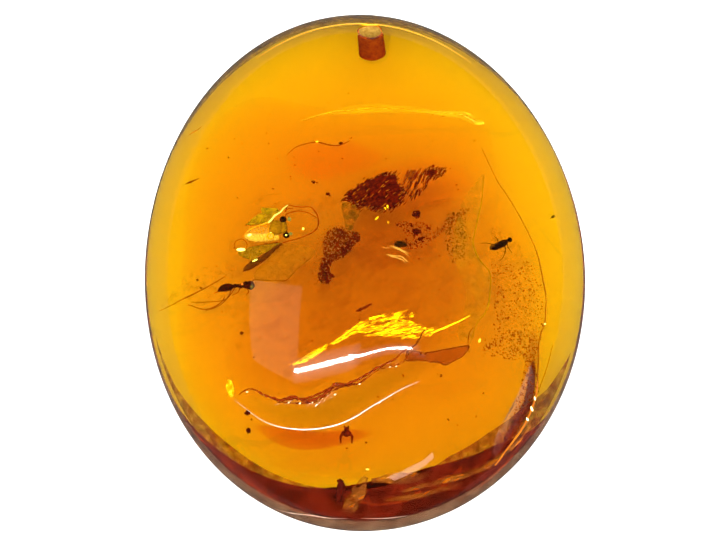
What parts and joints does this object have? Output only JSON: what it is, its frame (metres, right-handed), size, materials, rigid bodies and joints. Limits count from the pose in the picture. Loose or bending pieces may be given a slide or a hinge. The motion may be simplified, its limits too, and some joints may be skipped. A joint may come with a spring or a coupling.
{
  "type": "insect in amber",
  "caption": "Polished drop of clear orange amber with small insects and plant scraps sealed inside, a blind peg hole in its top edge, a flat back and a broad bevel behind its lower end.",
  "frame": {"origin": "middle of the flat back, at the centre of the drop's width and length", "axes": "+Z from the back to the polished front, +Y towards the drilled end, +X to the right of the front as seen with the drilled end up"},
  "size_m": [0.035, 0.042, 0.0093],
  "materials": {
    "amber": "clear honey to cognac amber, polished by hand",
    "insect_gold": "pale gold insect body and thin clear wings",
    "insect_dark": "dark brown insect skin",
    "bark": "charred red-brown bark",
    "dirt": "dull dark dirt"
  },
  "bodies": {
    "root": {"amber_front": "amber", "amber_back": "amber", "winged_insect": "insect_gold", "ant_like_wasp": "insect_dark", "midge": "insect_dark", "spider": "insect_dark", "bark_flake": "bark", "crumb_patch": "bark", "twig_splinter": "bark", "twig_rod": "bark", "bark_crumb_1": "bark", "bark_crumb_2": "bark", "bark_crumb_3": "bark", "bark_fleck": "bark", "seed_husk": "bark", "grain_1": "dirt", "grain_2": "dirt", "grain_3": "dirt", "grain_4": "dirt", "grain_5": "dirt", "grain_6": "dirt"}
  },
  "joints": []
}
